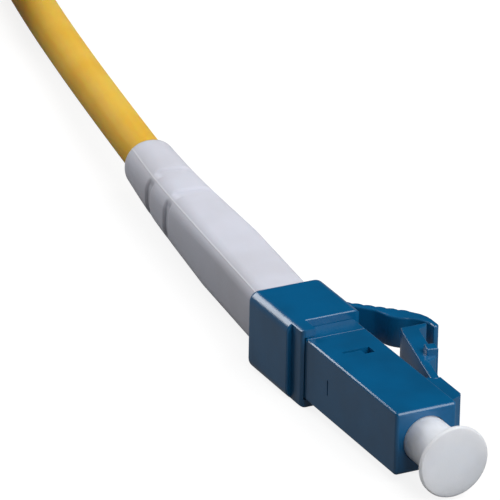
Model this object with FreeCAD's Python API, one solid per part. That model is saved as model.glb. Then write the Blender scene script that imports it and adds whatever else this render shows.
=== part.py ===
import FreeCAD, Part
import math
import os

# LC simplex plug on a 3 mm cable, lying on its side: the cable leaves along +Y,
# the latch and trigger point to +X, and the rear clip's flat side rests on z = 0.
# Pieces are drawn about the plug's own axis, with y = 0 at the front face, and moved at the end.
V = FreeCAD.Vector
X_AXIS = V(1, 0, 0)
Y_AXIS = V(0, 1, 0)
Z_AXIS = V(0, 0, 1)

# --- driving dimensions, in millimetres ---
# plug housing
body_side = 4.45            # square section that enters the adapter
body_length = 12.45         # front face to the seam
body_edge = 0.2             # rounding of the long edges
nose_edge = 0.26            # rounding round the front face
nose_bore = 3.3             # opening round the ferrule
web_front = 2.05            # wall that stops the ferrule flange
web_thickness = 0.6
web_hole = 1.7
spring_bore = 3.5
socket_side = 3.5           # square socket for the inner body
socket_depth = 4.0
window_width = 2.0          # catch windows, across
window_length = 0.88        # catch windows, along
window_setback = 2.58       # seam to the rear edge of the window
sight_slot_length = 1.1
sight_slot_width = 0.12
sight_slot_depth = 0.1

# latch
latch_width = 3.2
lug_width = 4.2
root_front = 1.3            # foot of the raised root, from the front face
root_slope = 0.6            # how far its sloping front runs
root_rear = 4.85
root_height = 1.465         # root above the housing wall
arm_thickness = 0.64
arm_rise = 13.5             # slope of the arm, degrees
arm_thin_length = 2.4       # thin stretch ahead of the ramp
ramp_height = 0.66
ramp_run = 0.5
latch_reach = 7.63          # hinge to the free end, along the plug
hook_height = 0.75
hook_length = 0.42
lug_front = 3.1             # hinge to the lugs, along the arm
lug_length = 0.88
lug_base = 0.66             # inner face of the arm to the lugs
lug_height = 0.8
lug_bevel = 0.1
hinge_gap = 0.04
hinge_side_gap = 0.1

# inner body
seam_gap = 0.05
collar_length = 1.65
barrel_diameter = 2.75
barrel_length = 3.25
barrel_bore = 1.9
socket_clearance = 0.04
catch_depth = 0.45          # below the housing wall, past the step in the catch
catch_step = 0.45           # middle of the window to the step
catch_rear_gap = 0.12

# rear clip
clip_side = 5.65
clip_length = 5.85
clip_edge = 0.75            # rounding of the long edges
clip_rear_edge = 0.45
clip_front_edge = 0.12
clip_front_corner = 0.6     # upright corner below the trigger
clip_wall = 1.0             # front wall round the crimp
clip_shell = 0.3            # walls round the boot
clip_bore_corner = 0.9
neck_clearance = 0.2        # round the crimp sleeve, in the front wall
clip_wing_length = 1.5
clip_wing_setback = 0.36    # wing side below the block side
clip_wing_reach = 1.35      # wing top, in from the clip's side
clip_wing_edge = 0.3
clip_clearance = 0.05

# trigger
trigger_width = 2.3
trigger_root_setback = 0.6  # hinge ahead of the clip's rear face
trigger_thickness = 0.62
trigger_neck = 0.46         # thinnest part of the arm
trigger_slope = 46.0
trigger_run = 6.47          # sloping length from the hinge to the bend
trigger_pad = 0.68          # extra thickness under the finger pad
lip_length = 2.18           # straight lip past the bend
lip_thickness = 0.48
lip_lean = 0.27             # how far the lip stands outside the bend
rib_height = 0.12
rib_count = 7

# ferrule group
ferrule_diameter = 1.249
ferrule_length = 6.4
ferrule_reach = 2.2         # past the front face
ferrule_float = 1.0
flange_diameter = 3.0
flange_length = 1.7
flange_slot = 0.5
flange_neck = 1.7
flange_neck_length = 0.8
flange_gap = 0.04
glue_gap = 0.01
guide_tube_diameter = 1.3
guide_tube_bore = 0.98
guide_tube_length = 6.3
tube_setback = 0.2          # ferrule's rear to the tube
spring_wire = 0.28
spring_diameter = 2.4       # middle of the wire
spring_turns = 5.0
fibre_diameter = 0.125
buffer_diameter = 0.9

# crimp and boot
yarn_thickness = 0.14
crimp_gap = 0.02
crimp_wall = 0.14
crimp_length = 4.8
crimp_setback = 0.2         # clip front to the sleeve
boot_length = 33.05
boot_wall_gap = 0.04
boot_clip_gap = 0.275       # clip wall to the middle of a boot face
boot_base_fullness = 1.178  # corner distance over face distance, near the clip
boot_tail_face = 1.94       # axis to the middle of a face, at the tail
boot_tail_fullness = 1.015
boot_flat_turn = 5.0        # half the angle through which a bowed face turns, degrees
boot_taper_start = 15.75    # from the boot's front, as are its bends
boot_bends = ((0.25, 5.25, 6.2), (22.75, 30.75, 3.3))   # start, end, degrees
groove_width = 1.3
groove_depth = 0.16
groove_setbacks = (5.95, 10.0)   # tail to the grooves in each face

# dust cap
cap_insert = 1.0            # length in the nose
cap_gap = 0.04              # round the stem, in the nose
cap_taper = 0.04            # growth of the stem's radius up to its waist
cap_waist_reach = 3.2       # front face to the end of the taper
cap_flange_diameter = 4.94
cap_flange_thickness = 0.36
cap_flange_edge = 0.1
cap_reach = 3.78            # front face to the cap's end
cap_bore_gap = 0.03
cap_bore_spare = 0.25

# cable: 3 mm jacket, one metre with the part that is put away
cable_diameter = 3.0
cable_reach = 87.6          # crimp to the coil, along the plug
cable_sway = 15.82          # crimp to the coil, sideways
coil_fold_radii = (9.0, 12.0)
coil_straight = 15.0        # straight stretch between the folds
coil_layers = 5
coil_edge = 1.2
tie_width = 4.0
tie_thickness = 0.35
tie_gap = 0.04

# --- places worked out from those sizes ---
half_body = body_side / 2
clip_front = body_length + seam_gap + collar_length + clip_clearance
clip_rear = clip_front + clip_length
half_clip = clip_side / 2
to_frame = V(0, -(clip_front + clip_rear) / 2, half_clip)
flange_front = web_front + web_thickness + flange_gap
barrel_end = body_length + seam_gap + collar_length + barrel_length
cable_radius = cable_diameter / 2
crimp_bore = barrel_diameter / 2 + yarn_thickness + 3 * crimp_gap
crimp_front = clip_front + crimp_setback
clip_bore = clip_side - 2 * clip_shell
boot_front = clip_front + clip_wall + clip_clearance
boot_tail = boot_front + boot_length
boot_base_face = clip_bore / 2 - boot_clip_gap
coil_base = tie_thickness + tie_gap

# The cable's route in the part's frame, as shares of its sway, reach and drop: level through the boot,
# easing down to the floor, then in to the coil along the outermost turn of its lowest layer.
exit_y = barrel_end + crimp_setback + to_frame.y
lying = cable_radius + 0.04 * cable_radius
route_shares = [
    (0.0, 0.0, 1.0), (0.0076, 0.0445, 1.0), (0.048, 0.1073, 1.0), (0.1258, 0.2158, 1.0),
    (0.2263, 0.3413, 1.0), (0.347, 0.4669, 0.88), (0.4994, 0.5982, 0.37), (0.6606, 0.7352, 0.02),
    (0.8375, 0.8779, 0.0),
]
route = [V(sway * cable_sway, exit_y + reach * cable_reach, lying + height * (half_clip - lying))
         for sway, reach, height in route_shares]
route.append(V(cable_sway, exit_y + cable_reach, coil_base + cable_radius))
into_coil = route[-1] - route[-2]
coil_turn = -math.degrees(math.atan2(into_coil.x, into_coil.y))


def place(shape):
    moved = shape.copy()
    moved.translate(to_frame)
    return moved


def block(x0, x1, y0, y1, z0, z1):
    return Part.makeBox(x1 - x0, y1 - y0, z1 - z0, V(x0, y0, z0))


def rod(radius, y0, y1):
    return Part.makeCylinder(radius, y1 - y0, V(0, y0, 0), Y_AXIS)


def square_bar(side, y0, y1, edge):
    """A square bar on the plug's axis with rounded long edges."""
    half = side / 2
    bar = block(-half, half, y0, y1, -half, half)
    return bar.makeFillet(edge, edges_along_y(bar))


def edges_along_y(shape):
    found = []
    for edge in shape.Edges:
        ends = [v.Point for v in edge.Vertexes]
        if len(ends) == 2 and abs((ends[1] - ends[0]).normalize().y) > 0.999:
            found.append(edge)
    return found


def edges_at_y(shape, y):
    found = []
    for edge in shape.Edges:
        box = edge.BoundBox
        if abs(box.YMin - y) < 1e-4 and abs(box.YMax - y) < 1e-4:
            found.append(edge)
    return found


def side_profile(points, width):
    """A flat outline in the X-Y plane, drawn out evenly about z = 0."""
    wire = Part.makePolygon([V(x, y, -width / 2) for x, y in points + points[:1]])
    return Part.Face(wire).extrude(V(0, 0, width))


def z_edges(shape, picks, radius):
    """Round the upright edges that stand nearest the picked (x, y) corners."""
    chosen = []
    upright = [e for e in shape.Edges if len(e.Vertexes) == 2
               and (e.Vertexes[0].Point - e.Vertexes[1].Point).cross(Z_AXIS).Length < 1e-6]
    for x, y in picks:
        chosen.append(min(upright, key=lambda e: math.hypot(e.Vertexes[0].X - x, e.Vertexes[0].Y - y)))
    return shape.makeFillet(radius, chosen)


# --- latch geometry shared by the arm and its root ---
rise = math.radians(arm_rise)
along = V(math.sin(rise), math.cos(rise), 0)
outward = V(math.cos(rise), -math.sin(rise), 0)
arm_half = arm_thickness / 2
latch_hinge = V(half_body + root_height - arm_half, root_rear + arm_half, 0)


def arm_point(distance, height):
    """A point on the latch, measured along the arm from the hinge and out from its inner face."""
    point = latch_hinge + along * distance + outward * (height - arm_half)
    return point.x, point.y


def make_front_housing():
    body = square_bar(body_side, 0, body_length, body_edge)
    body = body.makeFillet(nose_edge, edges_at_y(body, 0))
    outer_x = half_body + root_height
    inside = 0.8 * half_body
    lip = root_slope / 4
    slope_end = root_front + root_slope
    root = side_profile([(inside, root_front), (half_body, root_front), (outer_x - lip, slope_end),
                         (outer_x, slope_end + 2 * lip), (outer_x, latch_hinge.y), (inside, latch_hinge.y)],
                        latch_width)
    socket = Part.makeCylinder(arm_half + hinge_gap, latch_width + 1, V(0, 0, -latch_width / 2 - 0.5))
    socket.translate(latch_hinge)
    root = root.cut(socket)
    body = body.fuse(root).removeSplitter()
    body = body.cut(rod(nose_bore / 2, -0.1, web_front))
    body = body.cut(rod(web_hole / 2, web_front - 0.1, web_front + web_thickness + 0.1))
    body = body.cut(rod(spring_bore / 2, web_front + web_thickness, body_length - socket_depth))
    body = body.cut(square_bar(socket_side, body_length - socket_depth, body_length + 0.1, 0.3))
    window_y = body_length - window_setback
    windows = block(-window_width / 2, window_width / 2, window_y - window_length, window_y,
                    -body_side, body_side)
    slot_y = window_y - window_length / 2
    slot = block(-body_side, sight_slot_depth - half_body, slot_y, slot_y + sight_slot_width,
                 -sight_slot_length / 2, sight_slot_length / 2)
    return body.cut(windows).cut(slot)


def latch_outline(start, end_y):
    """The latch seen from above, from a distance along its arm back to a station."""
    top = arm_thickness + ramp_height
    ease = 0.12
    ramp_end = arm_thin_length + ramp_run
    inner_end = (end_y - latch_hinge.y) / along.y
    outer_end = inner_end + 0.25
    return [arm_point(start, 0), (arm_point(inner_end - 0.8, 0)[0], end_y - 0.8),
            (arm_point(inner_end, 0)[0] + 0.1, end_y), (arm_point(outer_end, top)[0], end_y),
            arm_point(ramp_end + ease, top), arm_point(ramp_end - ease, top - ease),
            arm_point(arm_thin_length, arm_thickness), arm_point(start, arm_thickness)]


def make_latch_arm():
    end_y = latch_hinge.y + latch_reach
    arm = side_profile(latch_outline(0, end_y), latch_width)
    hook_x, hook_base = latch_outline(0, end_y)[3]
    hook = side_profile([(hook_x - 0.4, end_y - hook_length), (hook_x - 0.05, end_y - hook_length - 0.25),
                         (hook_x + hook_height - 0.2, end_y - 0.4), (hook_x + hook_height, end_y),
                         (hook_x - 0.4, hook_base)], latch_width)
    knuckle = Part.makeCylinder(arm_half, latch_width, V(0, 0, -latch_width / 2))
    knuckle.translate(latch_hinge)
    return arm.fuse(knuckle).fuse(hook).fuse(make_lugs()).removeSplitter()


def make_lugs():
    """The two side lugs, as one bar across the arm, with bevelled ends."""
    front, rear = lug_front, lug_front + lug_length
    low, high = lug_base, lug_base + lug_height
    bar = side_profile([arm_point(front, low), arm_point(rear, low), arm_point(rear, high),
                        arm_point(front, high)], lug_width)
    ends = [edge for edge in bar.Edges if abs(abs(edge.CenterOfMass.z) - lug_width / 2) < 1e-4]
    return bar.makeChamfer(lug_bevel, ends)


def make_inner_body():
    front_y = body_length - socket_depth + socket_clearance
    collar_y = body_length + seam_gap
    plug = square_bar(socket_side - 2 * socket_clearance, front_y, collar_y + 0.2, 0.3)
    window_y = body_length - window_setback
    catch_y0 = window_y - window_length + socket_clearance
    catch_y1 = window_y - catch_rear_gap
    half_window = window_width / 2 - socket_clearance
    base = socket_side / 2 - catch_depth
    flush = half_body - 2 * socket_clearance
    low = half_body - catch_depth
    outline = [(-half_window, base), (-half_window, flush), (catch_step - 0.1, flush),
               (catch_step, low), (half_window, low), (half_window, base), (-half_window, base)]
    for side in (1, -1):
        catch = Part.Face(Part.makePolygon([V(x, catch_y0, side * z) for x, z in outline]))
        plug = plug.fuse(catch.extrude(Y_AXIS * (catch_y1 - catch_y0)))
    collar = square_bar(body_side, collar_y, collar_y + collar_length, body_edge)
    barrel = rod(barrel_diameter / 2, collar_y, barrel_end)
    for index in range(4):
        y = clip_front + 0.55 + index * 0.65
        ring = rod(barrel_diameter, y, y + 0.25).cut(rod(barrel_diameter / 2 - 0.1, y - 0.1, y + 0.35))
        barrel = barrel.cut(ring)
    body = plug.fuse(collar).fuse(barrel).removeSplitter()
    return body.cut(rod(barrel_bore / 2, front_y - 0.1, barrel_end + 0.1))


def make_rear_clip():
    shell = square_bar(clip_side, clip_front, clip_rear, clip_edge)
    shell = shell.makeFillet(clip_rear_edge, edges_at_y(shell, clip_rear))
    shell = shell.makeFillet(clip_front_edge, edges_at_y(shell, clip_front))
    turn_x = half_clip - clip_front_corner
    turn_y = clip_front + clip_front_corner
    corner = side_profile([(turn_x, clip_front - 1), (half_clip + 1, clip_front - 1),
                           (half_clip + 1, turn_y), (turn_x, turn_y)], clip_side + 1)
    keep = Part.makeCylinder(clip_front_corner, clip_side + 1, V(turn_x, turn_y, -half_clip - 0.5))
    shell = shell.cut(corner.cut(keep))
    wing_y = clip_front - clip_wing_length
    wing = square_bar(clip_side, wing_y, clip_front + clip_edge, clip_edge)
    wing_left = clip_wing_setback - half_clip
    wing_right = clip_wing_reach - half_clip
    wing = wing.common(block(wing_left, wing_right, wing_y, clip_rear, -half_clip, half_clip))
    wing = z_edges(wing, [(wing_left, wing_y)], clip_wing_edge)
    gap_half = half_body + clip_clearance
    wing = wing.cut(block(-gap_half, half_clip, wing_y - 1, clip_front, -gap_half, gap_half))
    shell = shell.fuse(wing).removeSplitter()
    bore = square_bar(clip_bore, clip_front + clip_wall, clip_rear + 1, clip_bore_corner)
    neck = rod(crimp_bore + crimp_wall + neck_clearance, clip_front - 1, clip_front + clip_wall + 0.1)
    shell = shell.cut(bore).cut(neck)
    notch = Part.makeCylinder(trigger_thickness / 2 + hinge_gap, trigger_width + 2 * hinge_side_gap,
                              trigger_hinge() - Z_AXIS * (trigger_width / 2 + hinge_side_gap))
    return shell.cut(notch)


def trigger_hinge():
    return V(half_clip + trigger_thickness * 0.35, clip_rear - trigger_root_setback, 0)


def trigger_point(distance, height):
    """A point on the trigger, along its slope from the hinge and out from its middle line."""
    slope = math.radians(trigger_slope)
    forward = V(math.sin(slope), -math.cos(slope), 0)
    upward = V(math.cos(slope), math.sin(slope), 0)
    point = trigger_hinge() + forward * distance + upward * height
    return point.x, point.y


def make_trigger_arm():
    half = trigger_thickness / 2
    neck = half - trigger_neck
    pad = half + trigger_pad
    run = trigger_run
    bend_x, bend_y = trigger_point(run, half - 0.14)
    lip_x = bend_x + lip_lean
    tip_y = bend_y - lip_length
    inner_x = lip_x - lip_thickness
    outline = [trigger_point(0, half), trigger_point(0.876 * run, half), (bend_x, bend_y),
               (lip_x - 0.12 * lip_thickness, bend_y - 0.275 * lip_length),
               (lip_x, bend_y - 0.5 * lip_length), (lip_x, tip_y + 0.09 * lip_length),
               (lip_x - 0.27 * lip_thickness, tip_y + 0.02 * lip_length),
               (lip_x - 0.52 * lip_thickness, tip_y), (inner_x, tip_y),
               (inner_x - 0.04 * lip_thickness, tip_y + 0.23 * lip_length),
               (inner_x - 0.62 * lip_thickness, tip_y + 0.6 * lip_length),
               trigger_point(0.923 * run, -pad * 0.82), trigger_point(0.869 * run, -pad * 0.93),
               trigger_point(0.8 * run, -pad), trigger_point(0.706 * run, -pad * 0.93),
               trigger_point(0.586 * run, -pad * 0.5), trigger_point(0.52 * run, -half),
               trigger_point(0.243 * run, neck), trigger_point(0.062 * run, neck), trigger_point(0, -half)]
    arm = side_profile(outline, trigger_width)
    knuckle = Part.makeCylinder(half, trigger_width, trigger_hinge() - Z_AXIS * (trigger_width / 2))
    arm = arm.fuse(knuckle)
    pitch = 0.876 * run / rib_count
    rib_radius = (pitch ** 2 / 4 + rib_height ** 2) / (2 * rib_height)
    for index in range(rib_count):
        middle = (index + 0.5) * pitch
        x, y = trigger_point(middle, half + rib_height - rib_radius)
        rib = Part.makeCylinder(rib_radius, trigger_width, V(x, y, -trigger_width / 2))
        ends = (middle - pitch / 2, middle + pitch / 2)
        keep = side_profile([trigger_point(ends[0], half / 2), trigger_point(ends[1], half / 2),
                             trigger_point(ends[1], 2 * half), trigger_point(ends[0], 2 * half)],
                            trigger_width)
        arm = arm.fuse(rib.common(keep))
    return arm.removeSplitter()


def make_ferrule():
    rear = ferrule_length - ferrule_reach
    ferrule = rod(ferrule_diameter / 2, -ferrule_reach, rear)
    ferrule = ferrule.makeChamfer(0.16, edges_at_y(ferrule, -ferrule_reach))
    ferrule = ferrule.cut(rod(fibre_diameter / 2 + glue_gap, -ferrule_reach - 0.1, rear + 0.1))
    funnel = Part.makeCone(0.01, 0.3, 0.5, V(0, rear - 0.45, 0), Y_AXIS)
    return ferrule.cut(funnel)


def make_ferrule_flange():
    rear = flange_front + flange_length
    flange = rod(flange_diameter / 2, flange_front, rear)
    for angle in (0, 90, 180, 270):
        slot = block(-flange_slot / 2, flange_slot / 2, flange_front - 0.1, rear - 0.5,
                     flange_diameter / 2 - 0.35, flange_diameter)
        slot.rotate(V(0, 0, 0), Y_AXIS, angle + 45)
        flange = flange.cut(slot)
    flange = flange.fuse(rod(flange_neck / 2, rear - 0.1, rear + flange_neck_length))
    ferrule_rear = ferrule_length - ferrule_reach
    flange = flange.cut(rod(ferrule_diameter / 2 + glue_gap, flange_front - 0.1, ferrule_rear))
    past = rear + 2 * flange_neck_length
    flange = flange.cut(rod(buffer_diameter / 2 + glue_gap, flange_front, past))
    return flange.cut(rod(guide_tube_diameter / 2 + glue_gap, ferrule_rear + tube_setback, past))


def make_guide_tube():
    front = ferrule_length - ferrule_reach + tube_setback + glue_gap
    tube = rod(guide_tube_diameter / 2, front, front + guide_tube_length)
    return tube.cut(rod(guide_tube_bore / 2, front - 0.1, front + guide_tube_length + 0.1))


def make_ferrule_spring():
    start = flange_front + flange_length + spring_wire / 2 + 2 * glue_gap
    end = body_length - socket_depth + socket_clearance - spring_wire / 2 - 2 * glue_gap
    radius = spring_diameter / 2
    helix = Part.makeHelix((end - start) / spring_turns, end - start, radius)
    wire = spring_wire / 2
    corners = [V(radius + wire * math.cos(math.radians(a)), 0, wire * math.sin(math.radians(a)))
               for a in range(0, 361, 60)]
    coil = Part.Wire(helix).makePipeShell([Part.makePolygon(corners)], True, True)
    coil.rotate(V(0, 0, 0), X_AXIS, -90)
    coil.translate(V(0, start, 0))
    return coil


def make_fibre():
    return rod(fibre_diameter / 2, -ferrule_reach, ferrule_length - ferrule_reach + 0.1)


def make_fibre_buffer():
    front = ferrule_length - ferrule_reach + 0.1
    return rod(buffer_diameter / 2, front, barrel_end - ferrule_float - 0.1)


def make_aramid_yarn():
    start = clip_front + 2 * crimp_setback
    yarn = rod(barrel_diameter / 2 + crimp_gap + yarn_thickness, start, barrel_end)
    return yarn.cut(rod(barrel_diameter / 2 + crimp_gap, start - 0.1, barrel_end + 0.1))


def make_crimp_sleeve():
    sleeve = rod(crimp_bore + crimp_wall, crimp_front, crimp_front + crimp_length)
    for index in range(3):
        y = crimp_front + 0.9 + index * 1.1
        dent = rod(crimp_bore + 1, y, y + 0.5).cut(rod(crimp_bore + crimp_wall * 0.55, y - 0.1, y + 0.6))
        sleeve = sleeve.cut(dent)
    return sleeve.cut(rod(crimp_bore, crimp_front - 0.1, crimp_front + crimp_length + 0.1))


def boot_heading(y):
    """Lean of the boot's middle line from +Y towards +X, in degrees, at station y."""
    lean = 0.0
    for start, end, angle in boot_bends:
        lean += angle * min(max((y - boot_front - start) / (end - start), 0), 1)
    return lean


def boot_offset(y):
    """Sideways shift of the boot's middle line at station y, summed along its lean."""
    steps = 200
    step = (y - boot_front) / steps
    headings = [boot_heading(boot_front + (i + 0.5) * step) for i in range(steps)]
    return step * sum(math.tan(math.radians(heading)) for heading in headings)


def boot_size(y):
    """Distance from the boot's middle line to a corner and to the middle of a face."""
    share = min(max((y - boot_front - boot_taper_start) / (boot_length - boot_taper_start), 0), 1)
    face = boot_base_face + (boot_tail_face - boot_base_face) * share
    fullness = boot_base_fullness + (boot_tail_fullness - boot_base_fullness) * share
    return face * fullness, face


def boot_section(y):
    """A rounded square of eight tangent arcs, square to the boot's middle line."""
    corner, face = boot_size(y)
    flat = math.radians(boot_flat_turn)
    spare = (corner - face) / (math.cos(flat) - 1 + (math.sqrt(2) - 1) * math.sin(flat))
    rounding = corner - math.sqrt(2) * spare * math.sin(flat)
    bow = rounding + spare
    centre = V(boot_offset(y), y, 0)
    lean = math.radians(boot_heading(y))
    side = V(math.cos(lean), -math.sin(lean), 0)

    def at(quarter, middle, radius, turn):
        """A point at a turn, on an arc whose middle stands off the boot's own."""
        spin = math.radians(90 * quarter)
        x = middle[0] + radius * math.cos(turn)
        z = middle[1] + radius * math.sin(turn)
        return centre + side * (x * math.cos(spin) - z * math.sin(spin)) + Z_AXIS * (
            x * math.sin(spin) + z * math.cos(spin))

    arcs = []
    reach = spare * math.sin(flat)
    for quarter in range(4):
        for middle, radius, start, end in (((face - bow, 0), bow, -flat, flat),
                                           ((reach, reach), rounding, flat, math.pi / 2 - flat)):
            ends = [at(quarter, middle, radius, turn) for turn in (start, (start + end) / 2, end)]
            arcs.append(Part.Arc(*ends).toShape())
    return Part.Wire(arcs)


def make_boot():
    shares = (0, 0.05, 0.15, 0.3, 0.47, 0.68, 0.8, 0.93, 1)
    boot = Part.makeLoft([boot_section(boot_front + share * boot_length) for share in shares], True, True)
    boot = boot.cut(rod(crimp_bore + crimp_wall + boot_wall_gap, boot_front - 1,
                        crimp_front + crimp_length + boot_wall_gap))
    bore = swept_tube(cable_radius + boot_wall_gap, route[:7])
    bore.translate(to_frame * -1)
    boot = boot.cut(bore)
    for setback in groove_setbacks:
        for face in range(4):
            boot = boot.cut(groove(boot_tail - setback, face))
    return boot


def groove(y, face):
    """A shallow channel that follows one bowed face and fades out at its corners."""
    corner, surface = boot_size(y)
    half_chord = corner * math.sqrt(0.5)
    bow = surface - groove_depth - half_chord
    bed = (half_chord ** 2 + bow ** 2) / (2 * bow)
    channel = rod(bed + surface, -groove_width / 2, groove_width / 2)
    channel = channel.cut(rod(bed, -groove_width, groove_width))
    channel.translate(V(0, 0, surface - groove_depth - bed))
    channel.rotate(V(0, 0, 0), Y_AXIS, 90 * face)
    channel.rotate(V(0, 0, 0), Z_AXIS, -boot_heading(y))
    channel.translate(V(boot_offset(y), y, 0))
    return channel


def make_dust_cap():
    """A turned plug: a stem that fits the nose and flares to a flat disc for the fingers."""
    stem = nose_bore / 2 - cap_gap
    disc = cap_flange_diameter / 2
    back = cap_reach - cap_flange_thickness
    flare = back - cap_waist_reach
    waist = stem + cap_taper
    edge = cap_flange_edge
    foot = V(0, cap_insert, 0)
    taper_end = V(waist, -cap_waist_reach, 0)
    flare_end = V(waist + flare, -back, 0)
    shank = [foot, V(stem, cap_insert, 0), V(stem, 0, 0), taper_end]
    edges = [Part.LineSegment(a, b).toShape() for a, b in zip(shank, shank[1:])]
    edges.append(Part.Arc(taper_end, V(waist + flare * 0.3, -cap_waist_reach - flare * 0.72, 0),
                          flare_end).toShape())
    outline = [flare_end, V(disc - edge, -back, 0), V(disc, -back - edge, 0),
               V(disc, edge - cap_reach, 0), V(disc - edge, -cap_reach, 0), V(0, -cap_reach, 0), foot]
    edges += [Part.LineSegment(a, b).toShape() for a, b in zip(outline, outline[1:])]
    cap = Part.Face(Part.Wire(edges)).revolve(V(0, 0, 0), Y_AXIS, 360)
    bore_end = ferrule_reach + cap_bore_spare
    return cap.cut(rod(ferrule_diameter / 2 + cap_bore_gap, -bore_end, cap_insert + 0.1))


def corner_radius(before, corner, after):
    """The largest arc that keeps 0.45 of the shorter run on each side of a corner."""
    into = corner - before
    out = after - corner
    turn = into.getAngle(out)
    return 0.45 * min(into.Length, out.Length) / math.tan(turn / 2)


def route_wire(points):
    edges = []
    start = points[0]
    for before, corner, after in zip(points, points[1:], points[2:]):
        into = (corner - before).normalize()
        out = (after - corner).normalize()
        turn = into.getAngle(out)
        radius = corner_radius(before, corner, after)
        setback = radius * math.tan(turn / 2)
        bulge = radius / math.cos(turn / 2) - radius
        middle = corner + (out - into).normalize() * bulge
        edges.append(Part.LineSegment(start, corner - into * setback).toShape())
        edges.append(Part.Arc(corner - into * setback, middle, corner + out * setback).toShape())
        start = corner + out * setback
    edges.append(Part.LineSegment(start, points[-1]).toShape())
    return Part.Wire(edges)


def swept_tube(radius, points):
    path = route_wire(points)
    heading = points[1] - points[0]
    section = Part.Wire(Part.makeCircle(radius, points[0], heading))
    return path.makePipeShell([section], True, True)


def stadium(radius):
    """A flat oval outline: two half circles joined by straight runs along Y."""
    half = coil_straight / 2
    right = [V(radius, -half, 0), V(radius, half, 0)]
    left = [V(-radius, half, 0), V(-radius, -half, 0)]
    edges = [Part.LineSegment(*right), Part.Arc(right[1], V(0, half + radius, 0), left[0]),
             Part.LineSegment(*left), Part.Arc(left[1], V(0, -half - radius, 0), right[0])]
    return Part.Face(Part.Wire([edge.toShape() for edge in edges]))


def put_by_cable(shape):
    """Turns a piece of the coil so that its right-hand run carries the cable straight on."""
    shape.rotate(V(0, 0, 0), Z_AXIS, coil_turn)
    entry = V(coil_fold_radii[-1], -coil_straight / 2, 0)
    entry = FreeCAD.Rotation(Z_AXIS, coil_turn).multVec(entry)
    shape.translate(V(route[-1].x - entry.x, route[-1].y - entry.y, 0))
    return shape


def make_coil():
    """The put-away turns, side by side and in layers, as one oval ring."""
    inner = coil_fold_radii[0] - cable_radius
    outer = coil_fold_radii[-1] + cable_radius
    height = V(0, 0, coil_layers * cable_diameter)
    ring = stadium(outer).extrude(height).cut(stadium(inner).extrude(height))
    ring.translate(V(0, 0, coil_base))
    rims = [edge for edge in ring.Edges if edge.BoundBox.ZLength < 1e-4]
    return put_by_cable(ring.makeChamfer(coil_edge, rims))


def make_coil_tie():
    """A flat band round the coil's left-hand run, its underside on the floor."""
    near = coil_fold_radii[0] - cable_radius - tie_gap
    far = coil_fold_radii[-1] + cable_radius + tie_gap
    top = coil_base + coil_layers * cable_diameter + tie_gap
    thick = tie_thickness
    half = tie_width / 2
    ease = coil_edge / 2
    hole = block(-far, -near, -tie_width, tie_width, thick, top)
    band = block(-far - thick, thick - near, -half, half, 0, top + thick)
    hole = hole.makeFillet(ease, edges_along_y(hole))
    band = band.makeFillet(ease + thick, edges_along_y(band)).cut(hole)
    return put_by_cable(band)


def make_cable(coil):
    tube = swept_tube(cable_radius, route)
    length = route_wire(route).Length
    print("cable tube volume", round(tube.Volume, 2), "section x length",
          round(math.pi * cable_radius ** 2 * length, 2), "length", round(length, 1))
    for before, corner, after in zip(route, route[1:], route[2:]):
        print("cable arc radius", round(corner_radius(before, corner, after), 1))
    coiled = coil_layers * sum(2 * math.pi * radius + 2 * coil_straight for radius in coil_fold_radii)
    print("coiled length", round(coiled, 1), "whole cable", round(coiled + length, 1))
    return tube.cut(coil)


coil_shape = make_coil()
plug_pieces = {
    "front_housing": make_front_housing(),
    "latch_arm": make_latch_arm(),
    "inner_body": make_inner_body(),
    "rear_clip": make_rear_clip(),
    "trigger_arm": make_trigger_arm(),
    "ferrule": make_ferrule(),
    "ferrule_flange": make_ferrule_flange(),
    "guide_tube": make_guide_tube(),
    "ferrule_spring": make_ferrule_spring(),
    "fibre": make_fibre(),
    "fibre_buffer": make_fibre_buffer(),
    "aramid_yarn": make_aramid_yarn(),
    "crimp_sleeve": make_crimp_sleeve(),
    "boot": make_boot(),
    "dust_cap": make_dust_cap(),
}
floor_pieces = {
    "cable": make_cable(coil_shape),
    "cable_coil": coil_shape,
    "coil_tie": make_coil_tie(),
}

os.makedirs("parts", exist_ok=True)
for name, shape in plug_pieces.items():
    place(shape).exportStep(f"parts/{name}.step")
for name, shape in floor_pieces.items():
    shape.exportStep(f"parts/{name}.step")
for name, shape in {**plug_pieces, **floor_pieces}.items():
    print(name, "solids", len(shape.Solids), "valid", shape.isValid(), "volume", round(shape.Volume, 3))
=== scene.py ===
import bmesh
import bpy
import math
import numpy as np
from mathutils import Matrix, Quaternion, Vector


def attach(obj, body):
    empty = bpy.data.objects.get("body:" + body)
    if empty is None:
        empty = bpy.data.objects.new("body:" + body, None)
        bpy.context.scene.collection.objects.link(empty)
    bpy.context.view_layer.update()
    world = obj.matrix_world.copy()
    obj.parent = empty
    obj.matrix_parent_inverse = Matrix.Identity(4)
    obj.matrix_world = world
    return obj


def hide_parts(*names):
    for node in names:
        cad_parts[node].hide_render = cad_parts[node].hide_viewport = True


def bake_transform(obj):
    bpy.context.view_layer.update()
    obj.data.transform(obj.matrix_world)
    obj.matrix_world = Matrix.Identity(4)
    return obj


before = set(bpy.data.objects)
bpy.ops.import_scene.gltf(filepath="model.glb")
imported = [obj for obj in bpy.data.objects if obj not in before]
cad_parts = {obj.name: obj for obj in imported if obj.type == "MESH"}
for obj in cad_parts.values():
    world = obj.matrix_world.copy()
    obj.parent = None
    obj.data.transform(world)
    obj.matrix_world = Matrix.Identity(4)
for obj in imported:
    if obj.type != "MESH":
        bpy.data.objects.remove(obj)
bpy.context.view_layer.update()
mm = 0.001

# Place and clipping in mm, turns in degrees.
cameraSet = {"place": (-148.91, -280.085, 150.005), "azimuth": -27.326, "elevation": 23.937,
             "roll": -1.012, "lens": 374.7, "sensor": 36.0, "near": 20.0, "far": 5000.0}


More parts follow.
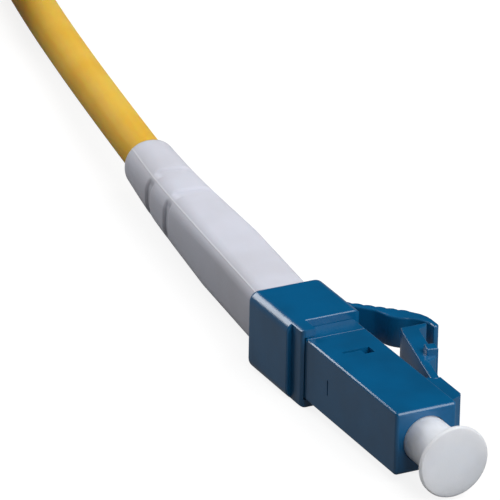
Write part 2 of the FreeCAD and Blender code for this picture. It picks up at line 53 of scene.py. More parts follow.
def makeCamera(s):
    # right and up are those of an orbit camera, then both turn by the roll about the line of sight
    around, above, roll = (math.radians(s[k]) for k in ("azimuth", "elevation", "roll"))
    right = Vector((math.cos(around), math.sin(around), 0))
    up = Vector((-math.sin(around) * math.sin(above), math.cos(around) * math.sin(above), math.cos(above)))
    back = Vector((math.sin(around) * math.cos(above), -math.cos(around) * math.cos(above), math.sin(above)))
    x = right * math.cos(roll) - up * math.sin(roll)
    y = right * math.sin(roll) + up * math.cos(roll)
    data = bpy.data.cameras.new("camera")
    data.lens = s["lens"]
    data.sensor_width = s["sensor"]
    data.clip_start = s["near"] * mm
    data.clip_end = s["far"] * mm
    camera = bpy.data.objects.new("camera", data)
    stand = Matrix((x, y, back)).transposed().to_4x4()
    stand.translation = Vector(s["place"]) * mm
    camera.matrix_world = stand
    bpy.context.scene.collection.objects.link(camera)
    bpy.context.scene.camera = camera


makeCamera(cameraSet)
print("camera placed")


# A Socket wraps a node's output, so that an expression on it adds the Math nodes.
class Socket:
    def __init__(self, tree, out):
        self.tree = tree
        self.out = out

    def math(self, operation, *others, first=None):
        ins = ([first] if first is not None else [self]) + list(others)
        return self.tree.add("ShaderNodeMath", {"operation": operation}, dict(enumerate(ins)))

    def __add__(self, o): return self.math("ADD", o)
    def __radd__(self, o): return self.math("ADD", o)
    def __sub__(self, o): return self.math("SUBTRACT", o)
    def __rsub__(self, o): return self.math("SUBTRACT", self, first=o)
    def __mul__(self, o): return self.math("MULTIPLY", o)
    def __rmul__(self, o): return self.math("MULTIPLY", o)

    def abs(self): return self.math("ABSOLUTE")
    def sin(self): return self.math("SINE")
    def clamp(self): return self.tree.add("ShaderNodeClamp", {}, {"Value": self})

    def ramp(self, low, high):
        # 0 below low, 1 above high, eased between them
        return self.tree.add("ShaderNodeMapRange", {"interpolation_type": "SMOOTHSTEP"},
                             {"Value": self, "From Min": low, "From Max": high})


# A Tree is the nodes of one material or of the world. A method that adds a node gives back its output.
class Tree:
    def __init__(self, name, world=False):
        self.holder = (bpy.data.worlds if world else bpy.data.materials).new(name)
        self.holder.use_nodes = True
        self.nodes = self.holder.node_tree.nodes
        self.links = self.holder.node_tree.links
        self.nodes.clear()
        self.output = self.nodes.new("ShaderNodeOutputWorld" if world else "ShaderNodeOutputMaterial")

    def add(self, kind, settings, sockets, out=0):
        # settings first, because some of them change which sockets there are
        node = self.nodes.new(kind)
        for key, value in settings.items():
            setattr(node, key, value)
        for key, value in sockets.items():
            if isinstance(value, Socket):
                self.links.new(value.out, node.inputs[key])
            else:
                node.inputs[key].default_value = value
        return Socket(self, node.outputs[out])

    def place(self):
        return self.add("ShaderNodeTexCoord", {}, {}, "Object")

    def axis(self, which):
        return self.add("ShaderNodeSeparateXYZ", {}, {"Vector": self.place()}, which)

    def noise(self, scale, detail, rough):
        return self.add("ShaderNodeTexNoise", {}, {"Vector": self.place(), "Scale": scale,
                                                   "Detail": detail, "Roughness": rough}, "Fac")

    def mix(self, factor, a, b):
        # sockets 6 and 7 are the two colours, and output 2 is their mix
        return self.add("ShaderNodeMix", {"data_type": "RGBA"}, {0: factor, 6: a, 7: b}, 2)

    def bump(self, height, distance, strength):
        return self.add("ShaderNodeBump", {}, {"Height": height, "Distance": distance, "Strength": strength})

    def surface(self, shader):
        self.links.new(shader.out, self.output.inputs["Surface"])
        return self.holder

    def finish(self, **sockets):
        named = {key.replace("_", " "): value for key, value in sockets.items()}
        return self.surface(self.add("ShaderNodeBsdfPrincipled", {}, named))


def fromScreen(r, g, b):
    # a colour as a screen shows it, 0 to 255, made linear
    def line(v):
        v /= 255
        return v / 12.92 if v <= 0.04045 else ((v + 0.055) / 1.055) ** 2.4
    return (line(r), line(g), line(b), 1.0)


def setMaterial(node, material):
    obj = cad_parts[node]
    if not obj.material_slots:
        obj.data.materials.append(material)
    for slot in obj.material_slots:
        slot.link = "OBJECT"
        slot.material = material


def smoothStep(x):
    # 0 below 0, 1 above 1, and x squared times (3 - 2x) between them
    x = np.clip(x, 0, 1)
    return x * x * (3 - 2 * x)


def newPiece(name, mesh):
    mesh.update()
    piece = bpy.data.objects.new(name, mesh)
    bpy.context.scene.collection.objects.link(piece)
    return piece


# The cable, in mm: a run that sinks from the crimp to the floor, and a coil of flat folds put away behind it.
cableSet = {"radius": 1.5, "exit": 0.475, "sway": 15.82, "reach": 87.6, "axis": 2.825, "lying": 1.56,
            "folds": (12.0, 9.0), "straight": 15.0, "layers": 5, "base": 1.89, "foldPoints": 10,
            "runShares": (0.15, 0.5, 0.85), "outerMove": (2.0, 1.0), "topMove": (1.15, 0.8),
            "innerMove": (0.1, 0.9), "order": 3, "smoothness": 6, "pointRadius": 0.001}


def cableRoute(s):
    # the same route points as the solid tube has, from the crimp to the coil
    shares = [(0.0, 0.0, 1.0), (0.0076, 0.0445, 1.0), (0.048, 0.1073, 1.0), (0.1258, 0.2158, 1.0),
              (0.2263, 0.3413, 1.0), (0.347, 0.4669, 0.88), (0.4994, 0.5982, 0.37), (0.6606, 0.7352, 0.02),
              (0.8375, 0.8779, 0.0)]
    drop = s["axis"] - s["lying"]
    route = [(x * s["sway"], s["exit"] + y * s["reach"], s["lying"] + z * drop) for x, y, z in shares]
    return np.array(route + [(s["sway"], s["exit"] + s["reach"], s["base"])])


def coilPoints(s, route):
    # A quarter of a turn is a straight run or a fold. The cable goes up the outer column and down the
    # inner one, a layer a turn. Moves from cell to cell start at set quarters, so that turns never touch.
    up = [(s["folds"][0], layer) for layer in range(s["layers"])]
    down = [(s["folds"][1], layer) for layer in reversed(range(s["layers"]))]
    cells = np.array(up + down)
    last = len(up) - 1
    kinds = [s["outerMove"]] * last + [s["topMove"]] + [s["innerMove"]] * (len(cells) - last - 2)
    moves = [(4 * k + begin, length) for k, (begin, length) in enumerate(kinds)]
    run = np.array(s["runShares"])
    fold = (np.arange(s["foldPoints"]) + 0.5) / s["foldPoints"]
    quarters = np.concatenate([run, 1 + fold, 2 + run, 3 + fold])
    place = (quarters[None, :] + 4 * np.arange(len(cells) - 1)[:, None]).ravel()
    radius = np.full_like(place, cells[0][0])
    layer = np.full_like(place, cells[0][1])
    for k, (begin, length) in enumerate(moves):
        share = smoothStep((place - begin) / length)
        radius += share * (cells[k + 1][0] - cells[k][0])
        layer += share * (cells[k + 1][1] - cells[k][1])
    quarter = place % 4
    half = s["straight"] / 2
    turn = np.pi * (np.clip(quarter - 1, 0, 1) + np.clip(quarter - 3, 0, 1))
    slide = half * (2 * np.clip(quarter, 0, 1) - 2 * np.clip(quarter - 2, 0, 1) - 1)
    # a fold's points stand a little outside its arc, since the smooth line cuts the corners between them
    spread = np.where((quarter % 2) > 1, 1 / math.cos(math.pi / 2 / s["foldPoints"]), 1.0)
    x = radius * spread * np.cos(turn)
    y = slide + radius * spread * np.sin(turn)
    heading = route[-1] - route[-2]
    tilt = -math.atan2(heading[0], heading[1])
    x -= s["folds"][0]
    y += half
    c, d = math.cos(tilt), math.sin(tilt)
    return np.stack([route[-1][0] + c * x - d * y, route[-1][1] + d * x + c * y,
                     s["base"] + layer * 2 * s["radius"]], 1)


def makeCable(s):
    # a circle of the cable's radius carried along a smooth line through the route and then the coil
    route = cableRoute(s)
    points = np.concatenate([route, coilPoints(s, route)])
    curve = bpy.data.curves.new("cableJacket", "CURVE")
    curve.dimensions = "3D"
    spline = curve.splines.new("NURBS")
    spline.points.add(len(points) - 1)
    spline.points.foreach_set("co", np.column_stack([points * mm, np.ones(len(points))]).ravel())
    spline.order_u = s["order"]
    spline.use_endpoint_u = True
    spline.resolution_u = s["smoothness"]
    # a point's own radius also widens the curve's bounds, so it is small and the bevel makes up for it
    spline.points.foreach_set("radius", np.full(len(points), s["pointRadius"]))
    curve.bevel_depth = s["radius"] * mm / s["pointRadius"]
    curve.bevel_resolution = s["smoothness"]
    curve.use_fill_caps = True
    cable = bpy.data.objects.new("cableJacket", curve)
    bpy.context.scene.collection.objects.link(cable)
    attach(cable, "connector")
    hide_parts("cable", "cable_coil")
    return cable


cable = makeCable(cableSet)
print("cable laid")


def scattering(weight, radius, depth):
    return {"Subsurface_Weight": weight, "Subsurface_Radius": radius, "Subsurface_Scale": depth}


# The four plastics. Cloud is a slow noise that mixes two close tones, and grain is the fine texture of the
# mould, in the roughness and the surface. A noise is its scale to the metre, its detail and its roughness.
# Heights and depths are in metres.
blueSet = {"name": "bluePlastic", "tones": (fromScreen(0, 93, 142), fromScreen(0, 82, 126)),
           "cloud": (260.0, 2.0, 0.5), "ramp": (0.3, 0.75), "rough": 0.27, "cloudRough": 0.06,
           "grain": (5200.0, 3.0, 0.6), "grainRough": 0.05, "grainHeight": 0.000004, "grainShare": 0.8,
           "specular": 0.8, "inside": {}}
capSet = {"name": "capPlastic", "tones": (fromScreen(235, 239, 253), fromScreen(229, 233, 246)),
          "cloud": (420.0, 3.0, 0.55), "ramp": (0.35, 0.7), "rough": 0.5, "cloudRough": 0.0,
          "grain": (6500.0, 2.0, 0.5), "grainRough": 0.1, "grainHeight": 0.000008, "grainShare": 0.6,
          "specular": 0.3, "inside": scattering(0.85, (1.0, 0.95, 0.9), 0.0014)}
bootSet = {"name": "bootRubber", "tones": (fromScreen(216, 218, 230), fromScreen(209, 210, 220)),
           "cloud": (180.0, 3.0, 0.5), "ramp": (0.35, 0.7), "rough": 0.62, "cloudRough": 0.0,
           "grain": (5200.0, 3.0, 0.6), "grainRough": 0.12, "grainHeight": 0.00001, "grainShare": 0.7,
           "specular": 0.25, "inside": scattering(0.35, (1.0, 0.8, 0.8), 0.0006),
           # seam is a paler tone painted along the parting ridge as its highlight
           "seam": fromScreen(250, 250, 255), "seamHighlightShare": 0.45}
jacketSet = {"name": "jacketPlastic", "tones": (fromScreen(232, 188, 78), fromScreen(226, 178, 65)),
             "cloud": (150.0, 2.0, 0.5), "ramp": (0.35, 0.7), "rough": 0.4, "cloudRough": 0.0,
             "grain": (3800.0, 3.0, 0.6), "grainRough": 0.14, "grainHeight": 0.000012, "grainShare": 0.6,
             "specular": 0.05, "inside": scattering(0.9, (1.0, 0.45, 0.12), 0.0024)}


def mouldedPlastic(s):
    t = Tree(s["name"])
    cloud = t.noise(*s["cloud"])
    grain = t.noise(*s["grain"])
    colour = t.mix(cloud.ramp(*s["ramp"]), *s["tones"])
    if "seam" in s:
        # painted highlight: along the parting ridge, by the attribute that the boot's mesh carries, the tone
        # turns paler to stand for the light the ridge catches
        seam = t.add("ShaderNodeAttribute", {"attribute_name": "seam"}, {}, "Fac")
        colour = t.mix(seam * s["seamHighlightShare"], colour, s["seam"])
    rough = s["rough"] + s["grainRough"] * (grain - 0.5)
    if s["cloudRough"]:
        rough = rough + s["cloudRough"] * cloud
    return t.finish(Base_Color=colour, Roughness=rough, Specular_IOR_Level=s["specular"],
                    Normal=t.bump(grain, s["grainHeight"], s["grainShare"]), **s["inside"])


# The other materials: a tone, which a noise turns a little darker, and a roughness.
flangeSet = {"name": "platedMetal", "tone": fromScreen(206, 202, 192), "rough": 0.26, "streaks": 2600.0}
steelSet = {"name": "springSteel", "tone": fromScreen(190, 190, 188), "rough": 0.3, "streaks": 3200.0}
crimpSet = {"name": "crimpMetal", "tone": fromScreen(214, 212, 206), "rough": 0.34, "streaks": 2200.0}
metalSet = {"dark": 0.8, "streak": (2.0, 0.6), "streakRough": 0.1, "lines": 26000.0,
            "lineHeight": 0.000004, "lineShare": 0.5}
tubeSet = {"name": "tubePlastic", "tone": fromScreen(232, 234, 234), "rough": 0.35}
fibreSet = {"name": "fibreGlass", "tone": fromScreen(226, 232, 236), "rough": 0.12}
bufferSet = {"name": "bufferPlastic", "tone": fromScreen(238, 234, 220), "rough": 0.4}
tieSet = {"name": "tiePlastic", "tone": fromScreen(60, 62, 66), "rough": 0.5}
plainSet = {"dark": 0.93, "grain": (1500.0, 2.0, 0.5), "grainRough": 0.08}
ceramicSet = {"tones": (fromScreen(240, 239, 233), fromScreen(232, 230, 222)), "grain": (900.0, 2.0, 0.5),
              "rough": 0.16, "grainRough": 0.06, "coat": 0.2}
yarnSet = {"tones": (fromScreen(226, 200, 96), fromScreen(190, 158, 60)), "strands": 30000.0,
           "rough": 0.7, "strandRough": 0.1, "strandHeight": 0.00002, "strandShare": 0.6}


def darker(colour, share):
    return tuple(share * c for c in colour[:3]) + (1.0,)


def metal(s, m):
    # drawn or turned metal: streaks in the tone, and fine lines across Y as a sine of the way along it
    t = Tree(s["name"])
    lines = (t.axis(1) * m["lines"]).sin() * 0.5 + 0.5
    streak = t.noise(s["streaks"], *m["streak"])
    return t.finish(Base_Color=t.mix(streak, s["tone"], darker(s["tone"], m["dark"])), Metallic=1.0,
                    Roughness=s["rough"] + m["streakRough"] * streak,
                    Normal=t.bump(lines, m["lineHeight"], m["lineShare"]))


def plainPlastic(s, p):
    t = Tree(s["name"])
    grain = t.noise(*p["grain"])
    return t.finish(Base_Color=t.mix(grain, s["tone"], darker(s["tone"], p["dark"])),
                    Roughness=s["rough"] + p["grainRough"] * grain)


def ceramic(s):
    t = Tree("ceramic")
    grain = t.noise(*s["grain"])
    return t.finish(Base_Color=t.mix(grain, *s["tones"]), Roughness=s["rough"] + s["grainRough"] * grain,
                    Coat_Weight=s["coat"])


def yarnWeave(s):
    # strands one way times strands the other way, each a sine
    t = Tree("yarnWeave")
    strand = (t.axis(0) * s["strands"]).sin() * (t.axis(2) * s["strands"]).sin()
    return t.finish(Base_Color=t.mix(strand.abs(), *s["tones"]),
                    Roughness=s["rough"] + s["strandRough"] * strand,
                    Normal=t.bump(strand, s["strandHeight"], s["strandShare"]))


blue, white, rubber, yellow = (mouldedPlastic(s) for s in (blueSet, capSet, bootSet, jacketSet))
steel = metal(steelSet, metalSet)
for name in ("front_housing", "latch_arm", "inner_body", "rear_clip", "trigger_arm"):
    setMaterial(name, blue)
setMaterial("dust_cap", white)
setMaterial("boot", rubber)
setMaterial("ferrule", ceramic(ceramicSet))
setMaterial("ferrule_flange", metal(flangeSet, metalSet))
setMaterial("ferrule_spring", steel)
setMaterial("crimp_sleeve", metal(crimpSet, metalSet))
setMaterial("guide_tube", plainPlastic(tubeSet, plainSet))
setMaterial("fibre", plainPlastic(fibreSet, plainSet))
setMaterial("fibre_buffer", plainPlastic(bufferSet, plainSet))
setMaterial("aramid_yarn", yarnWeave(yarnSet))
setMaterial("coil_tie", plainPlastic(tieSet, plainSet))
cable.data.materials.append(yellow)
print("materials made")

# Where the plug's own axis and front face stand in the part's frame, in mm.
plugShift = np.array([0.0, -17.125, 2.825])

# The boot, about its own middle line: a rounded square that turns nearly round at the tail, with a
# parting ridge along two corners and two shallow grooves across each face. Lengths in mm, turns in degrees.
# The grooves fade out between two turns from a face's middle. boreRows is where the bore ends and how far
# apart its rings are, and hollowRows are the rings of the wider hollow, all in steps from the front.
bootForm = {"front": 15.25, "tail": 48.3, "bends": ((15.5, 20.5, 6.2), (38.0, 46.0, 3.3)),
            "face": (2.25, 1.94), "fullness": (1.178, 1.015), "taperFrom": 31.0, "flatTurn": 5.0,
            "seam": 0.02, "seamWidth": 0.05, "bore": 1.56, "hollow": 1.85, "lip": 0.18,
            "grooveWidth": 1.2, "grooveDepth": 0.18, "grooveWall": 0.2, "grooves": (42.35, 38.3),
            "fade": (28.0, 43.0), "faceSteps": 12, "cornerSteps": 32, "crowding": 0.65, "step": 0.1,
            "lipSteps": 7, "boreRows": (60, 24), "hollowRows": (44, 20, 0)}


def closedGrid(name, points):
    # a grid of points that closes on itself both ways
    rows, columns = points.shape[:2]
    index = np.arange(rows * columns).reshape(rows, columns)
    right = np.roll(index, -1, 1)
    quads = np.stack([index, right, np.roll(right, -1, 0), np.roll(index, -1, 0)], -1).reshape(-1, 4)
    mesh = bpy.data.meshes.new(name)
    mesh.from_pydata(points.reshape(-1, 3) * mm, [], quads)
    mesh.polygons.foreach_set("use_smooth", np.ones(len(quads), bool))
    return newPiece(name, mesh)


def bootSections(s, y):
    # Eight tangent arcs a section: the bow of a face turns by twice flatTurn and the corner by the rest,
    # and samples crowd towards each corner's middle, where the parting ridge stands.
    share = np.clip((y - s["taperFrom"]) / (s["tail"] - s["taperFrom"]), 0, 1)[:, None]
    face = s["face"][0] + (s["face"][1] - s["face"][0]) * share
    corner = face * (s["fullness"][0] + (s["fullness"][1] - s["fullness"][0]) * share)
    flat = math.radians(s["flatTurn"])
    spare = (corner - face) / (math.cos(flat) - 1 + (math.sqrt(2) - 1) * math.sin(flat))
    rounding = corner - math.sqrt(2) * spare * math.sin(flat)
    reach = spare * math.sin(flat)
    even = (np.arange(s["faceSteps"]) + 0.5) / s["faceSteps"] * 2 - 1
    crowd = (np.arange(s["cornerSteps"]) + 0.5) / s["cornerSteps"] * 2 - 1
    onFace = even * flat
    crowd = (1 - s["crowding"]) * crowd + s["crowding"] * crowd ** 3
    onCorner = math.pi / 4 + crowd * (math.pi / 4 - flat)
    u = np.concatenate([face - rounding - spare + (rounding + spare) * np.cos(onFace),
                        reach + rounding * np.cos(onCorner)], 1)
    v = np.concatenate([(rounding + spare) * np.sin(onFace), reach + rounding * np.sin(onCorner)], 1)
    offCorner = np.concatenate([np.full((len(y), s["faceSteps"]), np.inf),
                                rounding * (onCorner - math.pi / 4)], 1)
    turn = np.concatenate([onFace, onCorner])
    off = np.abs(np.degrees((np.arctan2(v, u) + np.pi / 4) % (np.pi / 2) - np.pi / 4))
    seam = np.exp(-(offCorner / s["seamWidth"]) ** 2)
    fade = 1 - smoothStep((off - s["fade"][0]) / (s["fade"][1] - s["fade"][0]))
    cut = sum(smoothStep((s["grooveWidth"] / 2 - np.abs(y - g)) / s["grooveWall"]) for g in s["grooves"])
    inward = s["grooveDepth"] * cut[:, None] * fade
    across, height, ridge = [], [], []
    for quarter in range(4):
        onSeam = seam * (quarter % 2)
        lift = s["seam"] * onSeam - inward
        x = u + lift * np.cos(turn)
        z = v + lift * np.sin(turn)
        c, d = math.cos(quarter * math.pi / 2), math.sin(quarter * math.pi / 2)
        across.append(x * c - z * d)
        height.append(x * d + z * c)
        ridge.append(onSeam)
    return np.concatenate(across, 1), np.concatenate(height, 1), np.concatenate(ridge, 1)


def makeBoot(s):
    # The sections stand square to a middle line whose lean grows evenly through each bend. The skin runs
    # from the front to the tail, turns in over a rounded lip and comes back along the round bore.
    count = int((s["tail"] - s["front"]) / s["step"])
    y = np.linspace(s["front"], s["tail"], count)
    lean = np.radians(sum(angle * np.clip((y - a) / (b - a), 0, 1) for a, b, angle in s["bends"]))
    x = np.concatenate([[0], np.cumsum(np.tan((lean[1:] + lean[:-1]) / 2) * np.diff(y))])
    across, height, ridge = bootSections(s, y)
    around = np.arctan2(height[-1], across[-1])
    last = count - 1
    reach = np.hypot(across[last], height[last])
    rows = [(i, across[i], height[i], 0.0, ridge[i]) for i in range(last)]
    for turn in np.linspace(0, np.pi / 2, s["lipSteps"]):
        scale = 1 - s["lip"] * (1 - math.cos(turn)) / reach
        rows.append((last, across[last] * scale, height[last] * scale, s["lip"] * (math.sin(turn) - 1),
                     ridge[last] * math.cos(turn)))
    until, apart = s["boreRows"]
    inside = [(last, s["bore"])] + [(i, s["bore"]) for i in range(last - 1, until, -apart)]
    inside += [(i, s["hollow"]) for i in s["hollowRows"]]
    rows += [(i, r * np.cos(around), r * np.sin(around), 0.0, 0 * around) for i, r in inside]
    which = np.array([r[0] for r in rows])
    sideways, up, ridge = (np.array([r[k] for r in rows]) for k in (1, 2, 4))
    ahead = np.array([r[3] for r in rows])[:, None]
    tilt = lean[which][:, None]
    points = np.stack([x[which][:, None] + sideways * np.cos(tilt) + ahead * np.sin(tilt),
                       y[which][:, None] - sideways * np.sin(tilt) + ahead * np.cos(tilt),
                       up], -1) + plugShift
    boot = closedGrid("bootSleeve", points)
    seam = boot.data.attributes.new("seam", "FLOAT", "POINT")
    seam.data.foreach_set("value", ridge.ravel())
    boot.data.materials.append(rubber)
    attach(boot, "connector")
    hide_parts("boot")


makeBoot(bootForm)
print("boot made")

# Latch and trigger: outlines drawn out to a width, with every arris rounded. Lengths in mm from the plug's
# axis and front face, turns in degrees.
latchSet = {"hinge": (3.37, 5.17), "rise": 13.5, "thickness": 0.64, "width": 3.2, "reach": 7.63,
            "thin": 2.4, "rampRun": 0.5, "rampHeight": 0.66, "ease": 0.12, "hookHeight": 0.75,
            "hookLength": 0.42, "hookOver": 0.25, "hookSlope": (0.2, 0.4), "hookFoot": (0.17, 0.28),
            "endBevel": (0.1, 0.8), "lugWidth": 4.2, "lugAlong": (3.1, 3.98), "lugHeights": (0.66, 1.46),
            "arris": 0.1, "corner": 0.07, "lugArris": 0.09, "lugCorner": 0.06}
# The lip's points are shares of its thickness and length, from its tip's outer side. The pad's are shares
# of the arm's run and of the pad's depth, and the neck's are shares of the run.
triggerSet = {"hinge": (3.042, 19.45), "slope": 46.0, "thickness": 0.62, "neck": 0.46, "run": 6.47,
              "pad": 0.68, "lip": (2.18, 0.48, 0.27), "bendDrop": 0.14, "width": 2.3, "ribs": 7,
              "ribSpan": 0.876, "ribHeight": 0.12, "ribSteps": 9, "arris": 0.15, "corner": 0.1, "soft": 4.0,
              "lipShares": ((-0.12, 0.725), (0, 0.5), (0, 0.09), (-0.27, 0.02), (-0.52, 0), (-1, 0),
                            (-1.04, 0.23), (-1.62, 0.6)),
              "padShares": ((0.923, 0.82), (0.869, 0.93), (0.8, 1.0), (0.706, 0.93), (0.586, 0.5)),
              "neckShares": (0.52, 0.243, 0.062)}
mouldSet = {"sharp": 50.0, "knuckleSteps": 13, "cornerSteps": 5, "arrisSteps": 6, "cornerLimit": 0.49}


def roundCorners(points, radius, m):
    # each corner of a closed outline becomes a curve, which takes less than half of the shorter side
    points = np.array(points, float)
    before = np.roll(points, 1, 0) - points
    after = np.roll(points, -1, 0) - points
    lengths = np.linalg.norm(before, axis=1), np.linalg.norm(after, axis=1)
    before = before / lengths[0][:, None]
    after = after / lengths[1][:, None]
    half = np.arccos(np.clip((before * after).sum(1), -1, 1)) / 2
    cut = np.minimum(radius / np.tan(half), m["cornerLimit"] * np.minimum(*lengths))
    t = np.linspace(0, 1, m["cornerSteps"])[None, :, None]
    start = (points + before * cut[:, None])[:, None]
    end = (points + after * cut[:, None])[:, None]
    middle = points[:, None]
    return (start * (1 - t) ** 2 + 2 * middle * t * (1 - t) + end * t ** 2).reshape(-1, 2)


def inset(outline, distance):
    # every side moves in by the distance, so each corner moves along the line that halves it
    side = np.roll(outline, -1, 0) - outline
    side /= np.linalg.norm(side, axis=1)[:, None]
    normal = np.stack([-side[:, 1], side[:, 0]], 1)
    both = normal + np.roll(normal, 1, 0)
    return outline + distance * 2 * both / (both ** 2).sum(1)[:, None]


def prism(m, outline, width, arris, corner):
    # The outline is drawn across the width, and at both ends it draws in along a quarter of a circle.
    outline = np.array(outline, float)
    area = np.sum(outline[:, 0] * np.roll(outline[:, 1], -1) - np.roll(outline[:, 0], -1) * outline[:, 1])
    corner = np.broadcast_to(corner, len(outline))
    if area < 0:
        outline, corner = outline[::-1], corner[::-1]
    e = np.linspace(0, np.pi / 2, m["arrisSteps"])
    draw = arris * np.concatenate([1 - np.sin(e), 1 - np.cos(e)])
    level = np.concatenate([arris * (1 - np.cos(e)) - width / 2, width / 2 - arris * (1 - np.sin(e))])
    rings = np.array([roundCorners(inset(outline, d), corner, m) for d in draw])
    heights = np.broadcast_to(level[:, None, None], rings.shape[:2] + (1,))
    points = np.concatenate([rings, heights], 2)
    rows, columns = points.shape[:2]
    index = np.arange(rows * columns).reshape(rows, columns)
    right = np.roll(index, -1, 1)
    quads = np.stack([index[:-1], right[:-1], right[1:], index[1:]], -1).reshape(-1, 4)
    return points.reshape(-1, 3), quads.tolist() + [index[0][::-1].tolist(), index[-1].tolist()]


def makeMoulding(m, name, node, body, prisms):
    # the prisms stand in one mesh, each closed in itself
    points, faces, count = [], [], 0
    for corners, around in prisms:
        points.append(corners)
        faces += [[count + i for i in face] for face in around]
        count += len(corners)
    mesh = bpy.data.meshes.new(name)
    mesh.from_pydata((np.concatenate(points) + plugShift) * mm, [], faces)
    mesh.polygons.foreach_set("use_smooth", np.ones(len(mesh.polygons), bool))
    mesh.set_sharp_from_angle(angle=math.radians(m["sharp"]))
    mesh.materials.append(blue)
    piece = newPiece(name, mesh)
    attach(piece, body)
    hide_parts(node)


def makeLatch(m, s):
    # The side view of the arm: a half-round knuckle, a thin neck, a ramp to the thick part and the hook at
    # the end. The lugs are a block across it, square to the arm.
    rise = math.radians(s["rise"])
    along = np.array([math.sin(rise), math.cos(rise)])
    outward = np.array([math.cos(rise), -math.sin(rise)])
    half = s["thickness"] / 2
    hinge = np.array(s["hinge"])

    def at(distance, height):
        return hinge + along * distance + outward * (height - half)

    top = s["thickness"] + s["rampHeight"]
    endY = hinge[1] + s["reach"]
    inner = s["reach"] / along[1]
    rampEnd = s["thin"] + s["rampRun"]
    hookX = at(inner + s["hookOver"], top)[0]
    tipX = hookX + s["hookHeight"]
    (bevelX, bevelY), (slopeX, slopeY), (footX, footY) = s["endBevel"], s["hookSlope"], s["hookFoot"]
    knuckle = [hinge - along * half * math.sin(a) + outward * half * math.cos(a)
               for a in np.linspace(0, np.pi, m["knuckleSteps"])]
    outline = [(at(inner - bevelY, 0)[0], endY - bevelY), (at(inner, 0)[0] + bevelX, endY), (tipX, endY),
               (tipX - slopeX, endY - slopeY), (hookX - footX, endY - s["hookLength"] - footY),
               at(rampEnd + s["ease"], top), at(rampEnd - s["ease"], top - s["ease"]),
               at(s["thin"], s["thickness"])]
    (front, rear), (low, high) = s["lugAlong"], s["lugHeights"]
    lug = [at(front, low), at(rear, low), at(rear, high), at(front, high)]
    return [prism(m, knuckle + outline, s["width"], s["arris"], s["corner"]),
            prism(m, lug, s["lugWidth"], s["lugArris"], s["lugCorner"])]


def makeTrigger(m, s):
    # The side view of the arm, round from the hinge: the ribbed top, the bend, the lip that hangs from it,
    # the soft underside of the pad, the thin neck and a half-round knuckle.
    slope = math.radians(s["slope"])
    forward = np.array([math.sin(slope), -math.cos(slope)])
    upward = np.array([math.cos(slope), math.sin(slope)])
    hinge = np.array(s["hinge"])

    def at(distance, height):
        return hinge + forward * distance + upward * height

    half = s["thickness"] / 2
    neck, depth, run = half - s["neck"], half + s["pad"], s["run"]
    length, thick, lean = s["lip"]
    bend = at(run, half - s["bendDrop"])
    lipX, tipY = bend[0] + lean, bend[1] - length
    # each rib is an arc of a circle over its own share of the arm
    pitch = s["ribSpan"] * run / s["ribs"]
    radius = (pitch ** 2 / 4 + s["ribHeight"] ** 2) / (2 * s["ribHeight"])
    across = np.linspace(-1, 1, s["ribSteps"]) * pitch / 2
    swell = np.sqrt(radius ** 2 - across ** 2) - radius + s["ribHeight"]
    ribs = [at((k + 0.5) * pitch + a, half + h) for k in range(s["ribs"]) for a, h in zip(across[:-1], swell)]
    lip = [(lipX + x * thick, tipY + y * length) for x, y in s["lipShares"]]
    pad = [at(x * run, -y * depth) for x, y in s["padShares"]]
    necking = [at(x * run, height) for x, height in zip(s["neckShares"], (-half, neck, neck))]
    knuckle = [hinge - forward * half * math.sin(a) - upward * half * math.cos(a)
               for a in np.linspace(0, np.pi, m["knuckleSteps"])]
    top = ribs + [at(s["ribSpan"] * run, half), bend] + lip
    outline = top + pad + necking + knuckle[:-1]
    # from the lip's root to the neck the underside is one soft curve, and the rest has small corners
    corner = np.full(len(outline), s["corner"])
    corner[len(top) - 1:len(top) + len(pad + necking)] = s["soft"]
    return [prism(m, outline, s["width"], s["arris"], corner)]


makeMoulding(mouldSet, "latchArmShell", "latch_arm", "latch", makeLatch(mouldSet, latchSet))
makeMoulding(mouldSet, "triggerArmShell", "trigger_arm", "trigger", makeTrigger(mouldSet, triggerSet))
print("latch and trigger made")

# The housing and the inner body: merged copies of the solids, with their outer arrises eased a little.
# Widths and the merging gap in mm, turns in degrees.
easeSet = {"widths": {"frontHousingShell": ("front_housing", 0.05), "innerBodyShell": ("inner_body", 0.03)},
           "flat": 0.5, "sharp": 35.0, "segments": 3, "flatWeight": 95}
mergeGap = 0.002


def mergedCopy(node, material):
    # a copy of the solid's mesh, and the same as a working mesh whose triangles are joined at their corners
    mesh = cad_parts[node].data.copy()
    mesh.materials.clear()
    mesh.materials.append(material)
    work = bmesh.new()
    work.from_mesh(mesh)
    bmesh.ops.remove_doubles(work, verts=work.verts, dist=mergeGap * mm)
    return mesh, work


def easeArrises(s, name, node, width):
    # Flat triangles become whole faces, and each outer edge that turns more than sharp gets a round bevel.
    # The normals then keep to the flat faces.
    mesh, work = mergedCopy(node, blue)
    sharp = math.radians(s["sharp"])
    bmesh.ops.dissolve_limit(work, angle_limit=math.radians(s["flat"]), verts=work.verts, edges=work.edges)
    weights = work.edges.layers.float.new("bevel_weight_edge")
    for edge in work.edges:
        if len(edge.link_faces) == 2 and edge.is_convex and edge.calc_face_angle() > sharp:
            edge[weights] = 1.0
    work.to_mesh(mesh)
    work.free()
    mesh.polygons.foreach_set("use_smooth", np.ones(len(mesh.polygons), bool))
    mesh.set_sharp_from_angle(angle=sharp)
    piece = newPiece(name, mesh)
    bevel = piece.modifiers.new("arris", "BEVEL")
    bevel.width = width * mm
    bevel.segments = s["segments"]
    bevel.limit_method = "WEIGHT"
    bevel.harden_normals = True
    normals = piece.modifiers.new("normals", "WEIGHTED_NORMAL")
    normals.weight = s["flatWeight"]
    normals.keep_sharp = True
    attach(piece, "connector")
    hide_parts(node)


for name, (node, width) in easeSet["widths"].items():
    easeArrises(easeSet, name, node, width)
print("mouldings made")


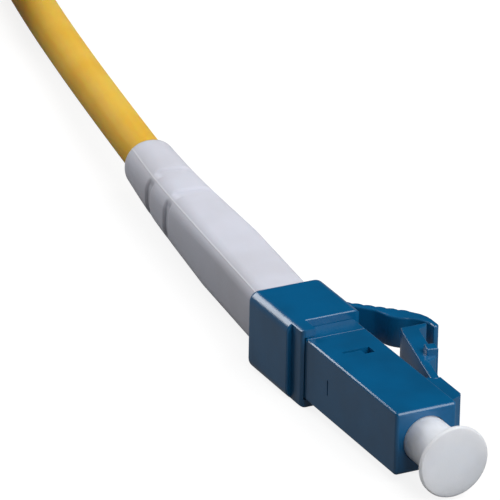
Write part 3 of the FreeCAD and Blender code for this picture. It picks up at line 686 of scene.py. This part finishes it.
def makeSpring(node):
    # a merged copy of the coil
    mesh, work = mergedCopy(node, steel)
    work.to_mesh(mesh)
    work.free()
    places = np.empty(len(mesh.vertices) * 3)
    mesh.vertices.foreach_get("co", places)
    spring = newPiece("springCoil", mesh)
    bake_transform(spring)
    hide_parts(node)


makeSpring("ferrule_spring")
print("spring made")

# Floor, world and lamps, in metres and degrees. Seen and gloss are what the camera and reflections see of the
# background. The lamps, the sky and the floor's grey alone light the object.
stageSet = {"floorSize": 4.0, "floorGrey": 0.15, "seenGrey": 0.22, "seenLift": 0.86, "glossGrey": 0.1,
            "glossLift": 0.16, "sky": 0.11, "sweep": 0.4, "ceiling": 0.0, "sweepTop": (0.0, 0.1)}
overheadSet = {"name": "overhead", "place": (0.58, -1.12, 1.36), "aim": (0, 0, 0), "size": (1.8, 1.8),
               "roll": 0.0, "watts": 42.0}
leftBackSet = {"name": "leftBack", "place": (-0.3, 0.81, 0.5), "aim": (0, 0, 0), "size": (0.3, 0.6),
               "roll": 42.0, "watts": 4.4}


def rayKinds(t):
    # 1 for rays from the camera or through clear plastic, and 1 for rays seen in gloss
    path = t.nodes.new("ShaderNodeLightPath")
    camera, gloss, clear = (Socket(t, path.outputs[name])
                            for name in ("Is Camera Ray", "Is Glossy Ray", "Is Transmission Ray"))
    return (camera + clear).clamp(), gloss


def makeFloor(s):
    mesh = bpy.data.meshes.new("floor")
    h = s["floorSize"] / 2
    mesh.from_pydata([(-h, -h, 0), (h, -h, 0), (h, h, 0), (-h, h, 0)], [], [(0, 1, 2, 3)])
    floor = newPiece("floor", mesh)
    t = Tree("floorPaper")
    seen, gloss = rayKinds(t)
    grey = s["floorGrey"]
    tone = grey + (s["seenGrey"] - grey) * seen + (s["glossGrey"] - grey) * gloss
    colour = t.add("ShaderNodeCombineColor", {}, {"Red": tone, "Green": tone, "Blue": tone})
    shader = t.add("ShaderNodeBsdfDiffuse", {}, {"Color": colour})
    lift = s["seenLift"] * seen + s["glossLift"] * gloss
    glow = t.add("ShaderNodeEmission", {}, {"Color": (1, 1, 1, 1), "Strength": lift})
    mesh.materials.append(t.surface(t.add("ShaderNodeAddShader", {}, {0: shader, 1: glow})))


def makeWorld(s):
    t = Tree("studio", world=True)
    # the white sweep stands low behind the object, so gloss sees a dark ceiling above it
    height = t.add("ShaderNodeSeparateXYZ", {}, {"Vector": t.place()}, 2)
    backdrop = s["sweep"] + (s["ceiling"] - s["sweep"]) * height.ramp(*s["sweepTop"])
    seen, gloss = rayKinds(t)
    strength = s["sky"] + (1 - s["sky"]) * seen + (backdrop - s["sky"]) * gloss
    bpy.context.scene.world = t.surface(t.add("ShaderNodeBackground", {},
                                              {"Color": (1, 1, 1, 1), "Strength": strength}))


def makeLamp(s):
    data = bpy.data.lights.new(s["name"], "AREA")
    data.shape = "RECTANGLE"
    data.size, data.size_y = s["size"]
    data.energy = s["watts"]
    lamp = bpy.data.objects.new(s["name"], data)
    lamp.location = s["place"]
    turn = (Vector(s["aim"]) - Vector(s["place"])).to_track_quat("-Z", "Y")
    lamp.rotation_euler = (turn @ Quaternion((0, 0, 1), math.radians(s["roll"]))).to_euler()
    bpy.context.scene.collection.objects.link(lamp)


makeFloor(stageSet)
makeWorld(stageSet)
makeLamp(overheadSet)
makeLamp(leftBackSet)
print("stage set")

bpy.context.scene.view_settings.view_transform = "Standard"
